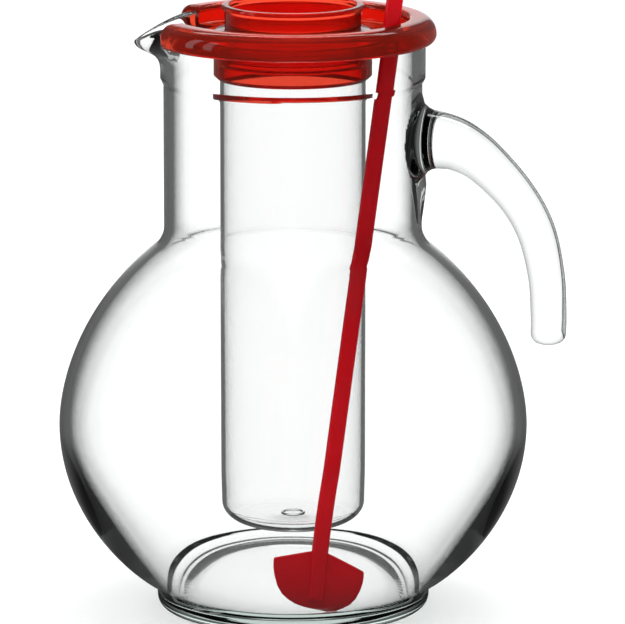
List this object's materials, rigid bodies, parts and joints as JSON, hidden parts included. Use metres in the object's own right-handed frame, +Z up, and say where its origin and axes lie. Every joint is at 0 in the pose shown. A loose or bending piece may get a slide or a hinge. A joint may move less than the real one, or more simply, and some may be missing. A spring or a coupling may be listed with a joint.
{
  "type": "glass pitcher with lid and chilling tube",
  "caption": "Round-bellied glass pitcher with an open hooked handle, a red lid that pours at the spout, a clear chilling tube with its cap and a leaning stirrer.",
  "frame": {"origin": "centre of the foot's underside", "axes": "+Z up along the body's axis, +X towards the handle, -X towards the spout"},
  "size_m": [0.1933, 0.1782, 0.2725],
  "materials": {
    "clear_glass": "clear, polished",
    "clear_handle_glass": "clear, polished",
    "red_lid_plastic": "glossy, slightly translucent",
    "clear_plastic": "clear, glossy",
    "red_cap_plastic": "glossy, slightly translucent",
    "red_stirrer_plastic": "glossy"
  },
  "bodies": {
    "jug": {"glass_jug": "clear_glass", "glass_handle": "clear_handle_glass"},
    "lid": {"lid": "red_lid_plastic"},
    "chiller_tube": {"chiller_tube": "clear_plastic"},
    "tube_cap": {"tube_cap": "red_cap_plastic"},
    "stirrer": {"stirrer": "red_stirrer_plastic"}
  },
  "joints": [
    {"name": "lid_lift", "type": "slide", "parent": "jug", "child": "lid", "axis": [0, 0, 1], "range_m": [0, 0.24]},
    {"name": "tube_lift", "type": "slide", "parent": "lid", "child": "chiller_tube", "axis": [0, 0, 1], "range_m": [0, 0.2]},
    {"name": "cap_lift", "type": "slide", "parent": "chiller_tube", "child": "tube_cap", "axis": [0, 0, 1], "range_m": [0, 0.03]},
    {"name": "stirrer_turn", "type": "hinge", "parent": "lid", "child": "stirrer", "pos_m": [0.03746, -0.00796, 0.2207], "axis": [0.1174, 0.1322, 0.9843], "continuous": true}
  ]
}
